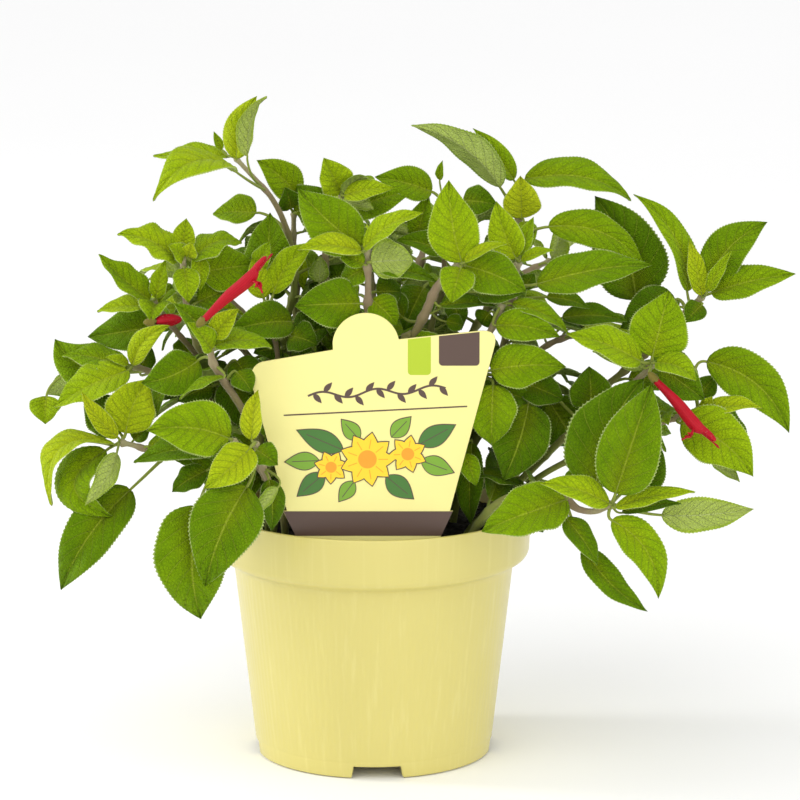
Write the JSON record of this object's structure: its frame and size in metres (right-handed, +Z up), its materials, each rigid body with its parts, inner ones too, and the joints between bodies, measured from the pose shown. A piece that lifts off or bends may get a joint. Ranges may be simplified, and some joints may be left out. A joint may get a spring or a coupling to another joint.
{
  "type": "potted pineapple sage",
  "caption": "Bushy sage herb plant with toothed green leaves and red tubular flowers, in a round cream-yellow plastic pot with a wordless plant label on a stake.",
  "frame": {"origin": "on the surface the pot stands on, under the middle of the whole plant's box, 14 mm to the right of and 21 mm behind the pot's axis", "axes": "+Z up along the pot's axis, the label's face towards -Y, +X to the right as seen from the front"},
  "size_m": [0.2882, 0.2158, 0.2582],
  "materials": {
    "pot_plastic": "semi-gloss moulded cream-yellow polypropylene",
    "potting_soil": "matt crumbly dark potting soil",
    "label_plastic": "satin printed plastic card",
    "foliage": "soft, finely hairy green leaves and stems",
    "petals": "velvety crimson petals"
  },
  "bodies": {
    "root": {"pot": "pot_plastic", "soil": "potting_soil", "label": "label_plastic", "stem_top_left": "foliage", "stem_left_high": "foliage", "stem_left_mid": "foliage", "stem_left_far": "foliage", "stem_left_front": "foliage", "stem_left_low": "foliage", "stem_label_left": "foliage", "stem_label_low": "foliage", "stem_upper_left": "foliage", "stem_upper_mid": "foliage", "stem_leaf_fan": "foliage", "stem_mid": "foliage", "stem_mid_back": "foliage", "stem_mid_right": "foliage", "stem_label_right": "foliage", "stem_right_mid": "foliage", "stem_top_mid": "foliage", "stem_right_front": "foliage", "stem_right_high": "foliage", "stem_right_low": "foliage", "stem_right_hang": "foliage", "stem_back_1": "foliage", "stem_back_2": "foliage", "stem_back_3": "foliage", "stem_back_4": "foliage", "stem_back_5": "foliage", "stem_back_6": "foliage", "stem_back_7": "foliage", "flower_left": "petals", "flower_right": "petals", "flower_bud": "petals"}
  },
  "joints": []
}
